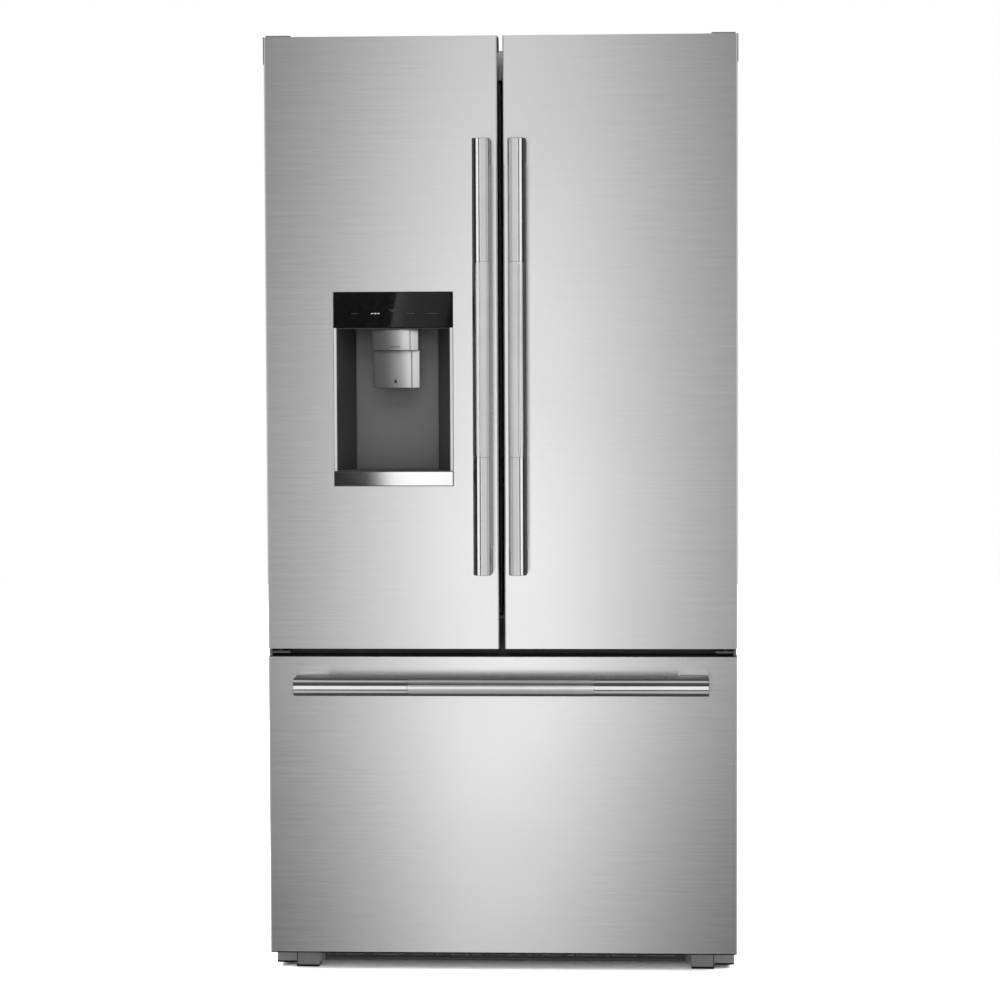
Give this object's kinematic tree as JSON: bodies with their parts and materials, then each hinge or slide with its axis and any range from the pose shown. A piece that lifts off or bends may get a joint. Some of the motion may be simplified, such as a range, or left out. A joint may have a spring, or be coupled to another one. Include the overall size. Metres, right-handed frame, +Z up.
{
  "type": "french door refrigerator",
  "caption": "Free-standing refrigerator with two side-hinged doors over a pull-out freezer drawer, bar handles and an ice and water dispenser in one door.",
  "frame": {"origin": "on the floor, under the middle of the whole object's width and depth at rest", "axes": "+Z up, -Y out of the doors' front faces, +X to the right as seen from the front"},
  "size_m": [0.908, 0.7664, 1.816],
  "materials": {
    "brushed_steel": "satin",
    "bright_steel": "polished",
    "painted_grey": "satin",
    "galvanised": "satin",
    "black_steel": "satin",
    "copper": "satin",
    "white_plastic": "satin",
    "clear_plastic": "gloss",
    "dark_plastic": "matte",
    "grey_plastic": "satin",
    "black_glass": "gloss",
    "shelf_glass": "gloss",
    "gasket_rubber": "matte",
    "foam": "matte",
    "foamed_liner": "satin"
  },
  "bodies": {
    "cabinet": {"cabinet_wrapper": "painted_grey", "cabinet_foam": "foam", "fridge_liner": "white_plastic", "freezer_liner": "white_plastic", "divider_rail": "painted_grey", "rear_panel": "galvanised", "compressor_cover": "galvanised", "cord_gland": "gasket_rubber", "base_pan": "galvanised", "compressor": "black_steel", "condenser_coil": "copper", "evaporator_coil": "copper", "evaporator_cover": "white_plastic", "base_grille": "dark_plastic", "water_filter": "white_plastic", "crisper_cover": "shelf_glass", "shelf_upper_left": "shelf_glass", "shelf_upper_right": "shelf_glass", "top_hinge_left": "painted_grey", "top_hinge_right": "painted_grey", "hinge_cover_left": "dark_plastic", "hinge_cover_right": "dark_plastic", "centre_hinge_left": "painted_grey", "centre_hinge_right": "painted_grey", "foot_left": "grey_plastic", "foot_right": "grey_plastic", "slide_channel_left": "galvanised", "slide_channel_right": "galvanised"},
    "left_door": {"left_door_skin": "brushed_steel", "left_door_liner": "foamed_liner", "left_door_gasket": "gasket_rubber", "handle_left": "bright_steel", "ice_bin": "clear_plastic", "dispenser_housing": "grey_plastic", "dispenser_panel": "black_glass", "dispenser_tray": "bright_steel"},
    "right_door": {"right_door_skin": "brushed_steel", "right_door_liner": "foamed_liner", "right_door_gasket": "gasket_rubber", "handle_right": "bright_steel", "right_door_bin_lower": "clear_plastic", "right_door_bin_upper": "clear_plastic"},
    "freezer_drawer": {"drawer_skin": "brushed_steel", "drawer_liner": "foamed_liner", "drawer_gasket": "gasket_rubber", "drawer_handle": "bright_steel", "drawer_rail_left": "galvanised", "drawer_rail_right": "galvanised", "lower_bin": "clear_plastic"},
    "paddle": {"dispenser_paddle": "grey_plastic"},
    "flipper": {"flipper_mullion": "painted_grey"},
    "slide_left": {"slide_member_left": "galvanised"},
    "slide_right": {"slide_member_right": "galvanised"},
    "upper_basket": {"upper_basket": "clear_plastic"},
    "crisper_left": {"crisper_left": "clear_plastic"},
    "crisper_right": {"crisper_right": "clear_plastic"},
    "condenser_fan": {"condenser_fan": "dark_plastic"},
    "evaporator_fan": {"evaporator_fan": "dark_plastic"},
    "rear_roller_left": {"rear_roller_left": "dark_plastic"},
    "rear_roller_right": {"rear_roller_right": "dark_plastic"}
  },
  "joints": [
    {"name": "left_door_swing", "type": "hinge", "parent": "cabinet", "child": "left_door", "pos_m": [-0.432, -0.28675, 0.635], "axis": [0, 0, -1], "range_deg": [0, 130]},
    {"name": "right_door_swing", "type": "hinge", "parent": "cabinet", "child": "right_door", "pos_m": [0.432, -0.28675, 0.635], "axis": [0, 0, 1], "range_deg": [0, 130]},
    {"name": "drawer_slide", "type": "slide", "parent": "cabinet", "child": "freezer_drawer", "axis": [0, -1, 0], "range_m": [0, 0.42]},
    {"name": "slide_left_travel", "type": "slide", "parent": "cabinet", "child": "slide_left", "axis": [0, -1, 0], "range_m": [0, 0.21]},
    {"name": "slide_right_travel", "type": "slide", "parent": "cabinet", "child": "slide_right", "axis": [0, -1, 0], "range_m": [0, 0.21]},
    {"name": "basket_slide", "type": "slide", "parent": "cabinet", "child": "upper_basket", "axis": [0, -1, 0], "range_m": [0, 0.252]},
    {"name": "crisper_left_slide", "type": "slide", "parent": "cabinet", "child": "crisper_left", "axis": [0, -1, 0], "range_m": [0, 0.13]},
    {"name": "crisper_right_slide", "type": "slide", "parent": "cabinet", "child": "crisper_right", "axis": [0, -1, 0], "range_m": [0, 0.13]},
    {"name": "flipper_fold", "type": "hinge", "parent": "left_door", "child": "flipper", "pos_m": [-0.0375, -0.216, 0.7], "axis": [0, 0, 1], "range_deg": [0, 90]},
    {"name": "paddle_press", "type": "hinge", "parent": "left_door", "child": "paddle", "pos_m": [-0.2035, -0.28075, 1.2075], "axis": [1, 0, 0], "range_deg": [0, 10], "stiffness_Nm_per_rad": 0.6, "springref_deg": -2.86},
    {"name": "condenser_fan_spin", "type": "hinge", "parent": "cabinet", "child": "condenser_fan", "pos_m": [-0.0482, 0.262, 0.152], "axis": [1, 0, 0], "continuous": true},
    {"name": "evaporator_fan_spin", "type": "hinge", "parent": "cabinet", "child": "evaporator_fan", "pos_m": [0, 0.2524, 0.47], "axis": [0, 1, 0], "continuous": true},
    {"name": "rear_roller_left_spin", "type": "hinge", "parent": "cabinet", "child": "rear_roller_left", "pos_m": [-0.428, 0.33, 0.024], "axis": [1, 0, 0], "continuous": true},
    {"name": "rear_roller_right_spin", "type": "hinge", "parent": "cabinet", "child": "rear_roller_right", "pos_m": [0.428, 0.33, 0.024], "axis": [1, 0, 0], "continuous": true}
  ],
  "couplings": [
    {"joint": "slide_left_travel", "follows": "drawer_slide", "ratio": 0.5},
    {"joint": "slide_right_travel", "follows": "drawer_slide", "ratio": 0.5},
    {"joint": "basket_slide", "follows": "drawer_slide", "ratio": 0.6},
    {"joint": "flipper_fold", "follows": "left_door_swing", "ratio": 0.69}
  ]
}
